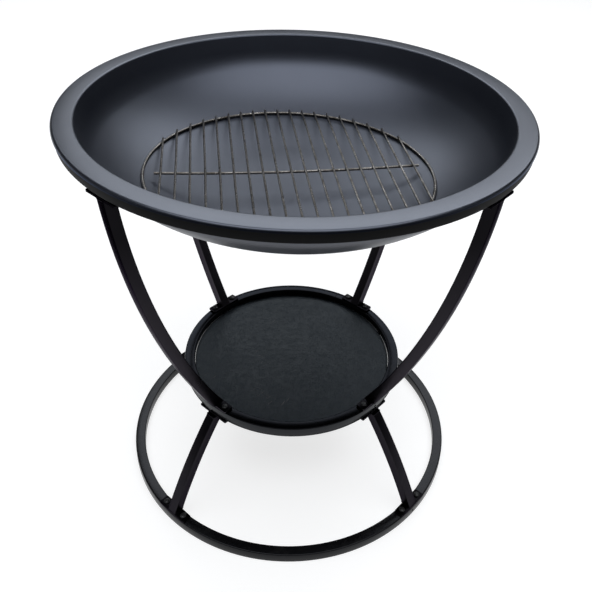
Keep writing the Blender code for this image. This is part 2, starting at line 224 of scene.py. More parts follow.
def turned(profile, steps, closed=True):
    """A bmesh turned about Z from (radius, height) points."""
    bm = bmesh.new()
    corners = [bm.verts.new((radius, 0.0, height)) for radius, height in profile]
    pairs = list(zip(corners, corners[1:]))
    if closed:
        pairs.append((corners[-1], corners[0]))
    edges = [bm.edges.new(pair) for pair in pairs]
    bmesh.ops.spin(
        bm, geom=corners + edges, cent=(0, 0, 0), axis=(0, 0, 1),
        angle=math.tau, steps=steps, use_merge=True, use_duplicate=False,
    )
    bmesh.ops.remove_doubles(bm, verts=bm.verts, dist=1e-6)
    return bm


def merge(target, *others):
    """Adds the bodies of other bmeshes to a bmesh."""
    for other in others:
        scratch = bpy.data.meshes.new("scratch")
        other.to_mesh(scratch)
        other.free()
        target.from_mesh(scratch)
        bpy.data.meshes.remove(scratch)
    return target


def node_ring(name):
    """Outer radius, bottom and top of a round CAD node."""
    low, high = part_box(name)
    return (high.x - low.x) / 2, low.z, high.z


# Shader groups

class Graph:
    """Short ways to add and join the nodes of one material or group."""

    def __init__(self, tree):
        self.tree = tree

    def add(self, kind, **settings):
        node = self.tree.nodes.new(kind)
        for name, value in settings.items():
            setattr(node, name, value)
        return node

    def join(self, source, target):
        self.tree.links.new(source, target)

    def math(self, operation, first, second=None, clamp=False):
        node = self.add("ShaderNodeMath", operation=operation, use_clamp=clamp)
        for index, value in enumerate((first, second)):
            if value is None:
                continue
            if isinstance(value, (int, float)):
                node.inputs[index].default_value = value
            else:
                self.join(value, node.inputs[index])
        return node.outputs[0]

    def split(self, vector):
        """The X, Y and Z of a vector."""
        node = self.add("ShaderNodeSeparateXYZ")
        self.join(vector, node.inputs[0])
        return node.outputs

    def noise(self, vector, scale, detail=3.0, rough=0.5, distortion=0.0):
        node = self.add("ShaderNodeTexNoise")
        self.join(vector, node.inputs["Vector"])
        if isinstance(scale, (int, float)):
            node.inputs["Scale"].default_value = scale
        else:
            self.join(scale, node.inputs["Scale"])
        node.inputs["Detail"].default_value = detail
        node.inputs["Roughness"].default_value = rough
        node.inputs["Distortion"].default_value = distortion
        return node.outputs["Fac"]

    def remap(self, value, low, high, to_low=0.0, to_high=1.0):
        node = self.add("ShaderNodeMapRange")
        self.join(value, node.inputs["Value"])
        node.inputs["From Min"].default_value = low
        node.inputs["From Max"].default_value = high
        node.inputs["To Min"].default_value = to_low
        node.inputs["To Max"].default_value = to_high
        return node.outputs["Result"]

    def mix(self, factor, first, second):
        node = self.add("ShaderNodeMix", data_type="RGBA")
        pairs = ((factor, node.inputs[0]), (first, node.inputs[6]), (second, node.inputs[7]))
        for value, socket in pairs:
            if isinstance(value, (int, float)):
                socket.default_value = value
            elif isinstance(value, tuple):
                socket.default_value = (*value, 1.0)
            else:
                self.join(value, socket)
        return node.outputs[2]


def group_tree(name, inputs, outputs):
    """A shader group with named sockets, and its input and output nodes."""
    tree = bpy.data.node_groups.new(name, "ShaderNodeTree")
    for label, kind, value in inputs:
        socket = tree.interface.new_socket(label, in_out="INPUT", socket_type=kind)
        if value is not None:
            socket.default_value = value
    for label, kind in outputs:
        tree.interface.new_socket(label, in_out="OUTPUT", socket_type=kind)
    graph = Graph(tree)
    source = graph.add("NodeGroupInput")
    sink = graph.add("NodeGroupOutput")
    return tree, graph, source.outputs, sink.inputs


FLOAT = "NodeSocketFloat"
VECTOR = "NodeSocketVector"


def make_edge_wear():
    """Mask of rubbed edges: where a rounded normal leaves the true one, broken up by noise."""
    tree, g, given, out = group_tree(
        "edge wear",
        [
            ("Vector", VECTOR, None), ("Radius", FLOAT, 0.001),
            ("Scale", FLOAT, 200.0), ("Amount", FLOAT, 1.0),
        ],
        [("Mask", FLOAT)],
    )
    bevel = g.add("ShaderNodeBevel", samples=4)
    g.join(given["Radius"], bevel.inputs["Radius"])
    true_normal = g.add("ShaderNodeNewGeometry").outputs["Normal"]
    dot = g.add("ShaderNodeVectorMath", operation="DOT_PRODUCT")
    g.join(bevel.outputs[0], dot.inputs[0])
    g.join(true_normal, dot.inputs[1])
    bend = g.math("SUBTRACT", 1.0, dot.outputs["Value"])
    edge = g.remap(bend, 0.02, 0.25)
    grain = g.noise(given["Vector"], given["Scale"], 4.0, 0.65)
    broken = g.remap(grain, 0.42, 0.62)
    mask = g.math("MULTIPLY", edge, broken, clamp=True)
    g.join(g.math("MULTIPLY", mask, given["Amount"], clamp=True), out["Mask"])
    return tree


def make_paint_skin():
    """Fine texture of sprayed paint: a height for bump and a slow blotch for gloss."""
    tree, g, given, out = group_tree(
        "paint skin",
        [("Vector", VECTOR, None), ("Peel Scale", FLOAT, 900.0), ("Blotch Scale", FLOAT, 9.0)],
        [("Height", FLOAT), ("Blotch", FLOAT)],
    )
    peel = g.noise(given["Vector"], given["Peel Scale"], 2.0, 0.5)
    g.join(peel, out["Height"])
    blotch = g.noise(given["Vector"], given["Blotch Scale"], 5.0, 0.6, 0.4)
    g.join(g.remap(blotch, 0.32, 0.68), out["Blotch"])
    return tree


def make_scratches():
    """Thin straight scratches: noise drawn out along three directions and cut to lines."""
    tree, g, given, out = group_tree(
        "scratches",
        [
            ("Vector", VECTOR, None), ("Length", FLOAT, 8.0),
            ("Fineness", FLOAT, 400.0), ("Amount", FLOAT, 1.0),
        ],
        [("Mask", FLOAT)],
    )
    lines = []
    for turn in (0.6, -1.1, 2.3):
        rotate = g.add("ShaderNodeVectorRotate", rotation_type="Z_AXIS")
        g.join(given["Vector"], rotate.inputs["Vector"])
        rotate.inputs["Angle"].default_value = turn
        stretch = g.add("ShaderNodeCombineXYZ")
        g.join(given["Length"], stretch.inputs[0])
        g.join(given["Fineness"], stretch.inputs[1])
        stretch.inputs[2].default_value = 4.0
        scaled = g.add("ShaderNodeVectorMath", operation="MULTIPLY")
        g.join(rotate.outputs[0], scaled.inputs[0])
        g.join(stretch.outputs[0], scaled.inputs[1])
        streak = g.noise(scaled.outputs[0], 1.0, 1.0, 0.4)
        lines.append(g.remap(streak, 0.70, 0.76))
    drawn = g.math("MAXIMUM", g.math("MAXIMUM", lines[0], lines[1]), lines[2])
    g.join(g.math("MULTIPLY", drawn, given["Amount"], clamp=True), out["Mask"])
    return tree


def make_dust():
    """Mask of dust and ash that lies on faces turned up, thin and patchy."""
    tree, g, given, out = group_tree(
        "dust",
        [("Vector", VECTOR, None), ("Scale", FLOAT, 60.0), ("Amount", FLOAT, 0.3)],
        [("Mask", FLOAT)],
    )
    normal = g.split(g.add("ShaderNodeNewGeometry").outputs["Normal"])
    facing = g.remap(normal["Z"], 0.35, 1.0)
    speckle = g.noise(given["Vector"], given["Scale"], 8.0, 0.75)
    patchy = g.remap(speckle, 0.50, 0.72)
    mask = g.math("MULTIPLY", facing, patchy, clamp=True)
    g.join(g.math("MULTIPLY", mask, given["Amount"], clamp=True), out["Mask"])
    return tree


GROUPS = {
    "wear": make_edge_wear(),
    "skin": make_paint_skin(),
    "scratches": make_scratches(),
    "dust": make_dust(),
}


def use_group(g, name, vector, **values):
    """Places a shader group with its own values and returns its outputs."""
    node = g.add("ShaderNodeGroup")
    node.node_tree = GROUPS[name]
    g.join(vector, node.inputs["Vector"])
    for label, value in values.items():
        node.inputs[label.replace("_", " ")].default_value = value
    return node.outputs


def opened(made):
    """The graph and the Principled shader of a material that gets more nodes."""
    return Graph(made.node_tree), made.node_tree.nodes["Principled BSDF"]


def new_material(name):
    """A material, its graph, its Principled shader and its object coordinates."""
    made = bpy.data.materials.new(name)
    made.use_nodes = True
    g, shader = opened(made)
    place = g.add("ShaderNodeTexCoord").outputs["Object"]
    return made, g, shader, place


def bump(g, shader, height, strength, distance):
    node = g.add("ShaderNodeBump")
    node.inputs["Strength"].default_value = strength
    node.inputs["Distance"].default_value = distance
    g.join(height, node.inputs["Height"])
    g.join(node.outputs[0], shader.inputs["Normal"])


def painted(
    name, base, blotch, rub, gloss, wear, specular, scratch, dust,
    peel=900.0, tint=(1.0, 1.0, 1.0),
):
    """Sprayed paint on steel: blotched colour and gloss, rubbed edges, fine scratches and dust.

    gloss is the roughness of the glossiest and of the dullest spots.
    """
    made, g, shader, place = new_material(name)
    skin = use_group(g, "skin", place, Peel_Scale=peel)
    colour = g.mix(skin["Blotch"], base, blotch)
    marks = use_group(g, "scratches", place, Amount=scratch)["Mask"]
    edge = use_group(g, "wear", place, Amount=wear)["Mask"]
    rubbed = g.math("MAXIMUM", marks, edge)
    colour = g.mix(rubbed, colour, rub)
    lying = use_group(g, "dust", place, Amount=dust)["Mask"]
    colour = g.mix(lying, colour, ASH)
    g.join(colour, shader.inputs["Base Color"])
    rough = g.remap(skin["Blotch"], 0.0, 1.0, gloss[0], gloss[1])
    rough = g.math("ADD", rough, g.math("MULTIPLY", lying, 0.4), clamp=True)
    g.join(rough, shader.inputs["Roughness"])
    shader.inputs["Specular IOR Level"].default_value = specular
    shader.inputs["Specular Tint"].default_value = (*tint, 1.0)
    bump(g, shader, skin["Height"], 0.12, 0.0003)
    return made


def bowl_paint(name):
    """Satin blue-black paint, duller inside the bowl, with the lip's outer face painted dead black
    as a painted reflection of dark surroundings.
    """
    made = painted(
        name, base=(0.0036, 0.0044, 0.0072), blotch=(0.0052, 0.0062, 0.0092),
        rub=(0.06, 0.06, 0.065), gloss=(0.30, 0.34), wear=0.12, specular=1.0,
        scratch=0.03, dust=0.03, peel=1100.0, tint=(0.76, 0.82, 1.0),
    )
    g, shader = opened(made)
    place = g.split(g.add("ShaderNodeTexCoord").outputs["Object"])
    across = g.math("POWER", place["X"], 2.0)
    ahead = g.math("POWER", place["Y"], 2.0)
    reach = g.math("SQRT", g.math("ADD", across, ahead))
    # Painted reflection: the lip's outer face is made dead black, standing in for the dark
    # surroundings it mirrors.
    outside = g.remap(reach, LIP_START, LIP_FULL)
    below = g.remap(place["Z"], LIP_TOP, LIP_DARK)
    g.join(g.math("MULTIPLY", outside, below, clamp=True), shader.inputs["Metallic"])
    sprayed = shader.inputs["Roughness"].links[0].from_socket
    inside = g.remap(reach, BOWL_MOUTH, BOWL_MOUTH + 0.002, 0.08, 0.0)
    bottom = g.remap(reach, *BOWL_BOTTOM, 0.07, 0.0)
    g.join(g.math("ADD", sprayed, g.math("ADD", inside, bottom)), shader.inputs["Roughness"])
    return made


def mid_ring_paint(name, black):
    """The middle ring's black paint, with faces turned up painted dead black as painted shade of
    the bowl.
    """
    made = painted(
        name, *black, gloss=(0.15, 0.21), wear=0.35, specular=0.27, scratch=0.06, dust=0.02,
        tint=(0.84, 0.90, 1.0),
    )
    g, shader = opened(made)
    normal = g.split(g.add("ShaderNodeNewGeometry").outputs["Normal"])
    # Painted shade: faces turned up go dead black, standing in for the bowl's shade.
    g.join(g.remap(normal["Z"], 0.30, 0.80), shader.inputs["Metallic"])
    return made


def leg_paint(name, base, blotch):
    """The legs' black coat: little sheen at glancing angles, with painted shade of the bowl that
    darkens it towards the top and on faces turned up.
    """
    made = painted(
        name, base, blotch, rub=(0.070, 0.068, 0.074), gloss=(0.26, 0.34),
        wear=0.30, specular=0.30, scratch=0.06, dust=0.02, tint=(0.42, 0.41, 0.43),
    )
    g, shader = opened(made)
    coat = shader.inputs["Base Color"].links[0].from_socket
    place = g.split(g.add("ShaderNodeTexCoord").outputs["Object"])
    normal = g.split(g.add("ShaderNodeNewGeometry").outputs["Normal"])
    # Painted shade under the bowl: the coat darkens towards the top and on faces turned up.
    shade_high = g.remap(place["Z"], *LEG_SHADE_HEIGHTS)
    turned_up = g.remap(normal["Z"], 0.70, 0.95)
    painted_shade = g.math("MAXIMUM", shade_high, turned_up)
    g.join(g.mix(painted_shade, coat, LEG_SHADE_COLOUR), shader.inputs["Base Color"])
    shader.inputs["Metallic"].default_value = 1.0
    return made


def bare_wire(name):
    """Drawn steel wire: dull and dark in patches, bright in specks where it was rubbed."""
    made, g, shader, place = new_material(name)
    patches = g.remap(g.noise(place, 60.0, 6.0, 0.7), 0.36, 0.64)
    colour = g.mix(patches, (0.200, 0.186, 0.172), (0.062, 0.055, 0.048))
    specks = g.remap(g.noise(place, 500.0, 3.0, 0.6), 0.60, 0.68)
    colour = g.mix(specks, colour, (0.50, 0.48, 0.45))
    g.join(colour, shader.inputs["Base Color"])
    shader.inputs["Metallic"].default_value = 1.0
    g.join(g.remap(patches, 0.0, 1.0, 0.24, 0.44), shader.inputs["Roughness"])
    bump(g, shader, g.noise(place, 900.0, 3.0, 0.6), 0.20, 0.0003)
    return made


def slate_sheet(name):
    """The shelf's flat black paint: cloudy, with worn grain, fine specks and short scratches."""
    made, g, shader, place = new_material(name)
    skin = use_group(g, "skin", place, Peel_Scale=700.0, Blotch_Scale=40.0)
    colour = g.mix(skin["Blotch"], (0.0040, 0.0052, 0.0066), (0.0095, 0.0122, 0.0150))
    grain = g.remap(g.noise(place, 120.0, 10.0, 0.82), 0.47, 0.66)
    colour = g.mix(g.math("MULTIPLY", grain, 0.45), colour, (0.036, 0.046, 0.056))
    marks = use_group(g, "scratches", place, Length=55.0, Fineness=600.0, Amount=0.6)["Mask"]
    where = g.remap(g.noise(place, 13.0, 2.0, 0.5), 0.57, 0.70)
    colour = g.mix(g.math("MULTIPLY", marks, where), colour, (0.15, 0.13, 0.12))
    specks = g.remap(g.noise(place, 620.0, 2.0, 0.5), 0.74, 0.80)
    colour = g.mix(g.math("MULTIPLY", specks, 0.5), colour, ASH)
    g.join(colour, shader.inputs["Base Color"])
    shader.inputs["Specular IOR Level"].default_value = 0.20
    shader.inputs["Specular Tint"].default_value = (0.78, 0.90, 1.0, 1.0)
    rough = g.remap(skin["Blotch"], 0.0, 1.0, 0.38, 0.46)
    g.join(g.math("ADD", rough, g.math("MULTIPLY", grain, 0.16)), shader.inputs["Roughness"])
    bump(g, shader, g.math("ADD", skin["Height"], grain), 0.30, 0.0004)
    return made


def make_finishes():
    """The finish of each kind of piece. The sets of colours are base, blotch and rubbed."""
    black = (0.0036, 0.0036, 0.0042), (0.0056, 0.0055, 0.0062), (0.045, 0.045, 0.047)
    deep = (0.0036, 0.0036, 0.0040), (0.0048, 0.0048, 0.0050), (0.03, 0.03, 0.03)
    zinc = (0.012, 0.012, 0.013), (0.020, 0.020, 0.020), (0.14, 0.14, 0.14)
    upper = (0.034, 0.031, 0.037), (0.044, 0.040, 0.047)
    lower = (0.0185, 0.0170, 0.0205), (0.0240, 0.0222, 0.0262)
    return {
        "bowl": bowl_paint("bowl satin"),
        "band": painted(
            "top ring black", *deep, gloss=(0.50, 0.60),
            wear=0.15, specular=0.07, scratch=0.05, dust=0.05,
        ),
        "mid ring": mid_ring_paint("middle ring black", black),
        "ring": painted(
            "ring black", *black, gloss=(0.18, 0.25),
            wear=0.35, specular=0.16, scratch=0.06, dust=0.05, tint=(0.92, 0.93, 1.0),
        ),
        "upper_leg_": leg_paint("upper leg black", *upper),
        "lower_leg_": leg_paint("lower leg black", *lower),
        "shelf": slate_sheet("shelf slate"),
        "grate": bare_wire("grate wire"),
        "bolt": painted(
            "black zinc", *zinc, gloss=(0.25, 0.38),
            wear=0.5, specular=0.35, scratch=0.2, dust=0.05,
        ),
    }


# Shapes

def from_object(obj):
    """The evaluated body of a scratch object as a bmesh. The object is removed."""
    seen = obj.evaluated_get(bpy.context.evaluated_depsgraph_get())
    mesh = bpy.data.meshes.new_from_object(seen)
    bm = bmesh.new()
    bm.from_mesh(mesh)
    bpy.data.meshes.remove(mesh)
    bpy.data.objects.remove(obj, do_unlink=True)
    return bm


def scratch_object(bm):
    bmesh.ops.recalc_face_normals(bm, faces=bm.faces)
    mesh = bpy.data.meshes.new("scratch")
    bm.to_mesh(mesh)
    bm.free()
    return link(bpy.data.objects.new("scratch", mesh))


def carved(bm, tool, operation="DIFFERENCE"):
    """A bmesh with another one taken from it, or cut down to what both share."""
    body = scratch_object(bm)
    cutter = scratch_object(tool)
    step = body.modifiers.new("step", "BOOLEAN")
    step.operation = operation
    step.solver = "EXACT"
    step.object = cutter
    result = from_object(body)
    bpy.data.objects.remove(cutter, do_unlink=True)
    return result


def swept(points, radius, swell=None, cyclic=False, sides=2):
    """A round wire or bead along points, whose radius swells by a factor at each point."""
    data = bpy.data.curves.new("path", "CURVE")
    data.dimensions = "3D"
    data.bevel_depth = radius
    data.bevel_resolution = sides
    data.use_fill_caps = True
    spline = data.splines.new("POLY")
    spline.points.add(len(points) - 1)
    spline.use_cyclic_u = cyclic
    for index, point in enumerate(points):
        spline.points[index].co = (*point, 1.0)
        spline.points[index].radius = swell[index] if swell else 1.0
    return from_object(link(bpy.data.objects.new("path", data)))


def moved(bm, matrix):
    bmesh.ops.transform(bm, verts=bm.verts, matrix=matrix)
    return bm


def nugget(place, size):
    """A small squashed blob of weld metal."""
    bm = bmesh.new()
    bmesh.ops.create_icosphere(bm, subdivisions=2, radius=1.0)
    return moved(bm, Matrix.Translation(place) @ Matrix.Diagonal((*size, 1.0)))


def weld_bead(outline):
    """A closed rippled bead along an outline."""
    swell = []
    for index in range(len(outline)):
        ripple = BEAD_RIPPLE * math.sin(index * 2.4)
        swell.append(1.0 + ripple + random.uniform(-BEAD_STRAY, BEAD_STRAY))
    return swept(outline, BEAD_RADIUS, swell, cyclic=True)


# Bowl

def fillet_tangent():
    return BOWL_FILLET * math.tan(math.radians(WALL_ANGLE) / 2)


def bowl_arcs():
    """The dish arc's centre and radius, the shoulder arc's centre, and the slope at their join."""
    lean = math.radians(WALL_ANGLE)
    back = fillet_tangent() + WALL_HEIGHT
    shoulder = (
        BOWL_MOUTH - back * math.cos(lean) - SHOULDER_RADIUS * math.sin(lean),
        RIM_TOP - back * math.sin(lean) + SHOULDER_RADIUS * math.cos(lean),
    )
    across = shoulder[0] - FLOOR_RADIUS
    above = shoulder[1] - (RIM_TOP - BOWL_DEPTH)
    rise = above - SHOULDER_RADIUS
    dish_radius = (across ** 2 + above ** 2 - SHOULDER_RADIUS ** 2) / (2 * rise)
    dish = (FLOOR_RADIUS, RIM_TOP - BOWL_DEPTH + dish_radius)
    return dish, dish_radius, shoulder, math.atan2(across, dish_radius - above)


def wall_points(sheet):
    """Points from the floor's centre to the shoulder's top, moved out by a sheet's thickness."""
    dish, dish_radius, shoulder, meet = bowl_arcs()
    slope = -90 + math.degrees(meet)
    lower = arc(dish, dish_radius + sheet, -90, slope, DISH_STEPS)
    upper = arc(shoulder, SHOULDER_RADIUS + sheet, slope, -90 + WALL_ANGLE, SHOULDER_STEPS)
    return [(0.0, RIM_TOP - BOWL_DEPTH - sheet)] + lower + upper[1:]


def dish_height(radius):
    """Height of the dish's inner face at a distance from the bowl's axis."""
    dish, dish_radius, _, _ = bowl_arcs()
    return dish[1] - math.sqrt(dish_radius ** 2 - max(0.0, radius - dish[0]) ** 2)


def bowl_profile():
    """Closed outline of the sheet, from the floor's centre over the rim and back."""
    fillet_centre = (BOWL_MOUTH + fillet_tangent(), RIM_TOP - BOWL_FILLET)
    edge_centre = (RIM_RADIUS - RIM_EDGE, RIM_TOP - RIM_EDGE)
    lip_bottom = RIM_TOP - RIM_LIP
    fillet = arc(fillet_centre, BOWL_FILLET, 90 + WALL_ANGLE, 90, FILLET_STEPS)
    edge = arc(edge_centre, RIM_EDGE, 90, 0, FILLET_STEPS)
    lip = [(RIM_RADIUS, lip_bottom), (RIM_RADIUS - BOWL_SHEET, lip_bottom)]
    under_edge = arc(edge_centre, RIM_EDGE - BOWL_SHEET, 0, 90, UNDER_EDGE_STEPS)
    under_fillet = arc(fillet_centre, BOWL_FILLET - BOWL_SHEET, 90, 90 + WALL_ANGLE, FILLET_STEPS)
    inside = wall_points(0.0) + fillet + edge
    return inside + lip + under_edge + under_fillet + wall_points(BOWL_SHEET)[::-1]


def make_bowl(finish):
    bowl = finished(turned(bowl_profile(), BOWL_STEPS, closed=False), "bowl_pressed")
    fit(bowl, "bowl", finish, "bowl_enamel", "bowl")


# Stand

def leg_turns():
    """Each leg's turn about the stand, in radians."""
    return {name: math.radians(azimuth + LEG_TURN) for name, azimuth in LEG_AZIMUTHS.items()}


def tube_outline(centre):
    """Section of the square tube in the (radius, height) plane."""
    points = []
    reach = TUBE / 2 - TUBE_CORNER
    for quarter, (side_x, side_y) in enumerate(((1, 1), (-1, 1), (-1, -1), (1, -1))):
        middle = (centre[0] + side_x * reach, centre[1] + side_y * reach)
        points += arc(middle, TUBE_CORNER, 90 * quarter, 90 * quarter + 90, CORNER_STEPS)
    return points


def ring_seam(centre, azimuth):
    """The low bead where the ring's tube was closed."""
    around = Matrix.Rotation(math.radians(azimuth), 3, "Z")
    section = tube_outline(centre)
    lowest = min(height for _, height in section)
    seen = [point for point in section if point[1] > lowest + 0.001]
    seen.sort(key=lambda point: math.atan2(point[1] - centre[1] + 0.006, point[0] - centre[0]))
    outline = [around @ Vector((radius, 0.0, height)) for radius, height in seen]
    return swept(outline, SEAM_RADIUS)


def make_rings(finishes):
    """The three rings, with a drain hole in the middle and base ring."""
    vent_turn = leg_turns()["front_right"]
    for name, seam, finish in RINGS:
        radius, bottom, top = node_ring(name)
        centre = (radius - TUBE / 2, (bottom + top) / 2)
        bm = turned(tube_outline(centre), RING_STEPS)
        if name != "top_ring":
            vent = bmesh.new()
            bmesh.ops.create_cone(
                vent, cap_ends=True, segments=VENT_STEPS, radius1=VENT_RADIUS, radius2=VENT_RADIUS,
                depth=2 * VENT_BORE, matrix=Matrix.Rotation(math.pi / 2, 4, "Y"),
            )
            lay = Matrix.Rotation(vent_turn, 4, "Z") @ Matrix.Translation((radius, 0, centre[1]))
            bm = carved(bm, moved(vent, lay))
        merge(bm, ring_seam(centre, seam))
        fit(finished(bm, name + "_tube"), "stand", finishes[finish], "stand_paint", name)


def bent_tube(upper, lower, bow):
    """Open square tube along an arc between two (radius, height) points, bulging outwards."""
    chord = Vector((lower[0] - upper[0], 0.0, lower[1] - upper[1]))
    half = chord.length / 2
    radius = (half * half + bow * bow) / (2 * bow)
    along = chord.normalized()
    bulge = Vector((-along.z, 0.0, along.x))
    middle = Vector(((upper[0] + lower[0]) / 2, 0.0, (upper[1] + lower[1]) / 2))
    centre = middle + bulge * (bow - radius)
    sweep = 2 * math.asin(half / radius)
    spare = TUBE / radius
    bm = bmesh.new()
    corners = []
    for out, aside in tube_outline((0.0, 0.0)):
        corners.append(bm.verts.new(middle + bulge * (bow + out) + Vector((0.0, aside, 0.0))))
    edges = [bm.edges.new(pair) for pair in zip(corners, corners[1:] + corners[:1])]
    turn_back = Matrix.Rotation(-sweep / 2 - spare, 3, "Y")
    bmesh.ops.rotate(bm, verts=corners, cent=centre, matrix=turn_back)
    bmesh.ops.spin(
        bm, geom=corners + edges, cent=centre, axis=(0, 1, 0),
        angle=sweep + 2 * spare, steps=LEG_STEPS, use_duplicate=False,
    )
    return bm


def cut_level(bm, height, keep_below):
    """Cuts a tube level and returns the outline of the cut, in order."""
    normal = (0, 0, 1) if keep_below else (0, 0, -1)
    geom = list(bm.verts) + list(bm.edges) + list(bm.faces)
    bmesh.ops.bisect_plane(
        bm, geom=geom, dist=1e-7, plane_co=(0, 0, height), plane_no=normal, clear_outer=True,
    )
    level = [v.co.copy() for v in bm.verts if v.is_boundary and abs(v.co.z - height) < 1e-6]
    middle = sum(level, Vector()) / len(level)
    return sorted(level, key=lambda point: math.atan2(point.y - middle.y, point.x - middle.x))


def even_loop(points, count):
    """Points spaced evenly along a closed outline."""
    closed = points + points[:1]
    lengths = [(b - a).length for a, b in zip(closed, closed[1:])]
    total = sum(lengths)
    spaced = []
    for index in range(count):
        left = total * index / count
        for a, b, length in zip(closed, closed[1:], lengths):
            if left <= length and length > 0.0:
                spaced.append(a.lerp(b, left / length))
                break
            left -= length
    return spaced


def end_plate(radius, low):
    """End plate of a leg, standing on its low face, with softened edges."""
    bm = bmesh.new()
    shape = Matrix.Diagonal((TUBE, PLATE_LENGTH, PLATE_THICKNESS, 1.0))
    at = Matrix.Translation((radius, 0.0, low + PLATE_THICKNESS / 2))
    bmesh.ops.create_cube(bm, size=1.0, matrix=at @ shape)
    upright = [e for e in bm.edges if abs(e.verts[0].co.z - e.verts[1].co.z) > PLATE_THICKNESS / 2]
    bmesh.ops.bevel(
        bm, geom=upright, offset=PLATE_CORNER, segments=4, profile=0.5, affect="EDGES", material=-1,
    )
    rims = [e for e in bm.edges if abs(e.verts[0].co.z - e.verts[1].co.z) < 1e-6]
    bmesh.ops.bevel(
        bm, geom=rims, offset=PLATE_BEVEL, segments=2, profile=0.5, affect="EDGES", material=-1,
    )
    return bm


def leg_body(upper, lower, bow):
    """A bent leg with its end plates and weld beads, before its turn about the stand."""
    tube = bent_tube(upper, lower, bow)
    top_face = upper[1] - PLATE_THICKNESS
    bottom_face = lower[1] + PLATE_THICKNESS
    beads = []
    for face, keep_below in ((top_face, True), (bottom_face, False)):
        beads.append(weld_bead(even_loop(cut_level(tube, face, keep_below), BEAD_STEPS)))
    return merge(tube, end_plate(upper[0], top_face), end_plate(lower[0], lower[1]), *beads)


def make_legs(finishes):
    """Four upper and four lower legs, each between the plates' seats on two rings."""
    half = TUBE / 2
    top_radius, top_bottom, _ = node_ring("top_ring")
    mid_radius, mid_bottom, mid_top = node_ring("mid_ring")
    base_radius, _, base_top = node_ring("base_ring")
    under_top = (top_radius - half, top_bottom - TOUCH_GAP)
    over_mid = (mid_radius - half, mid_top + TOUCH_GAP)
    under_mid = (mid_radius - half, mid_bottom - TOUCH_GAP)
    over_base = (base_radius - half, base_top + TOUCH_GAP)
    rows = (
        ("upper_leg_", under_top, over_mid, UPPER_LEG_BOW),
        ("lower_leg_", under_mid, over_base, LOWER_LEG_BOW),
    )
    for label, upper, lower, bow in rows:
        for name, turn in leg_turns().items():
            bm = moved(leg_body(upper, lower, bow), Matrix.Rotation(turn, 4, "Z"))
            node = label + name
            fit(finished(bm, node + "_bent"), "stand", finishes[label], "stand_paint", node)


def pan_head():
    """Outline of a pan head above its seat, from the rim to the centre."""
    side = HEAD_HEIGHT * 0.35
    dome = HEAD_HEIGHT - side
    points = [(HEAD_RADIUS - HEAD_BREAK, 0.0), (HEAD_RADIUS, HEAD_BREAK), (HEAD_RADIUS, side)]
    for index in range(1, DOME_STEPS):
        angle = math.pi / 2 * index / DOME_STEPS
        points.append((HEAD_RADIUS * math.cos(angle), side + dome * math.sin(angle)))
    points.append((0.0, HEAD_HEIGHT))
    return points


def screw_body(length):
    """A cross-recessed screw, head up, its seat at height 0 and its shank below."""
    tip = BOLT_RADIUS - SHANK_CHAMFER
    shank = [
        (0.0, -length), (tip, -length), (BOLT_RADIUS, -length + SHANK_CHAMFER), (BOLT_RADIUS, 0.0),
    ]
    bm = turned(shank + pan_head(), HEAD_STEPS, closed=False)
    for turn in (RECESS_TURN, RECESS_TURN + math.pi / 2):
        blade = bmesh.new()
        shape = Matrix.Diagonal((RECESS_LENGTH, RECESS_WIDTH, 2 * RECESS_DEPTH, 1.0))
        bmesh.ops.create_cube(blade, size=1.0, matrix=Matrix.Rotation(turn, 4, "Z") @ shape)
        bm = carved(bm, moved(blade, Matrix.Translation((0.0, 0.0, HEAD_HEIGHT))))
    return bm


def nut_body():
    """A hexagon nut with chamfered corners that hangs from height 0."""
    bm = bmesh.new()
    bmesh.ops.create_cone(
        bm, cap_ends=True, segments=6, radius1=NUT_RADIUS, radius2=NUT_RADIUS,
        depth=NUT_HEIGHT, matrix=Matrix.Translation((0, 0, -NUT_HEIGHT / 2)),
    )
    flat = NUT_RADIUS * 0.90
    slope = (NUT_RADIUS - flat) * 0.7
    clear = NUT_RADIUS * 1.01
    outline = [
        (0.0, -NUT_HEIGHT), (flat, -NUT_HEIGHT), (clear, -NUT_HEIGHT + slope),
        (clear, -slope), (flat, 0.0), (0.0, 0.0),
    ]
    return carved(bm, turned(outline, HEAD_STEPS, closed=False), "INTERSECT")


def make_fasteners(finish):
    """Every screw, bolt and nut at the place of its CAD node."""
    for name in list(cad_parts):
        if not any("_" + kind + "_" in name for kind in ("screw", "bolt", "nut")):
            continue
        low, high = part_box(name)
        middle = (low + high) / 2
        spin = Matrix.Rotation(random.uniform(0.0, math.tau), 4, "Z")
        if "_nut_" in name:
            bm = moved(nut_body(), Matrix.Translation((middle.x, middle.y, high.z)) @ spin)
        elif name.startswith("top_screw"):
            flip = Matrix.Rotation(math.pi, 4, "X")
            seat = low.z + HEAD_HEIGHT
            bm = screw_body(high.z - seat)
            moved(bm, Matrix.Translation((middle.x, middle.y, seat)) @ flip @ spin)
        else:
            seat = high.z - HEAD_HEIGHT
            bm = screw_body(seat - low.z)
            moved(bm, Matrix.Translation((middle.x, middle.y, seat)) @ spin)
        fit(finished(bm, name + "_fine", 30.0), "stand", finish, "fastener_zinc", name)


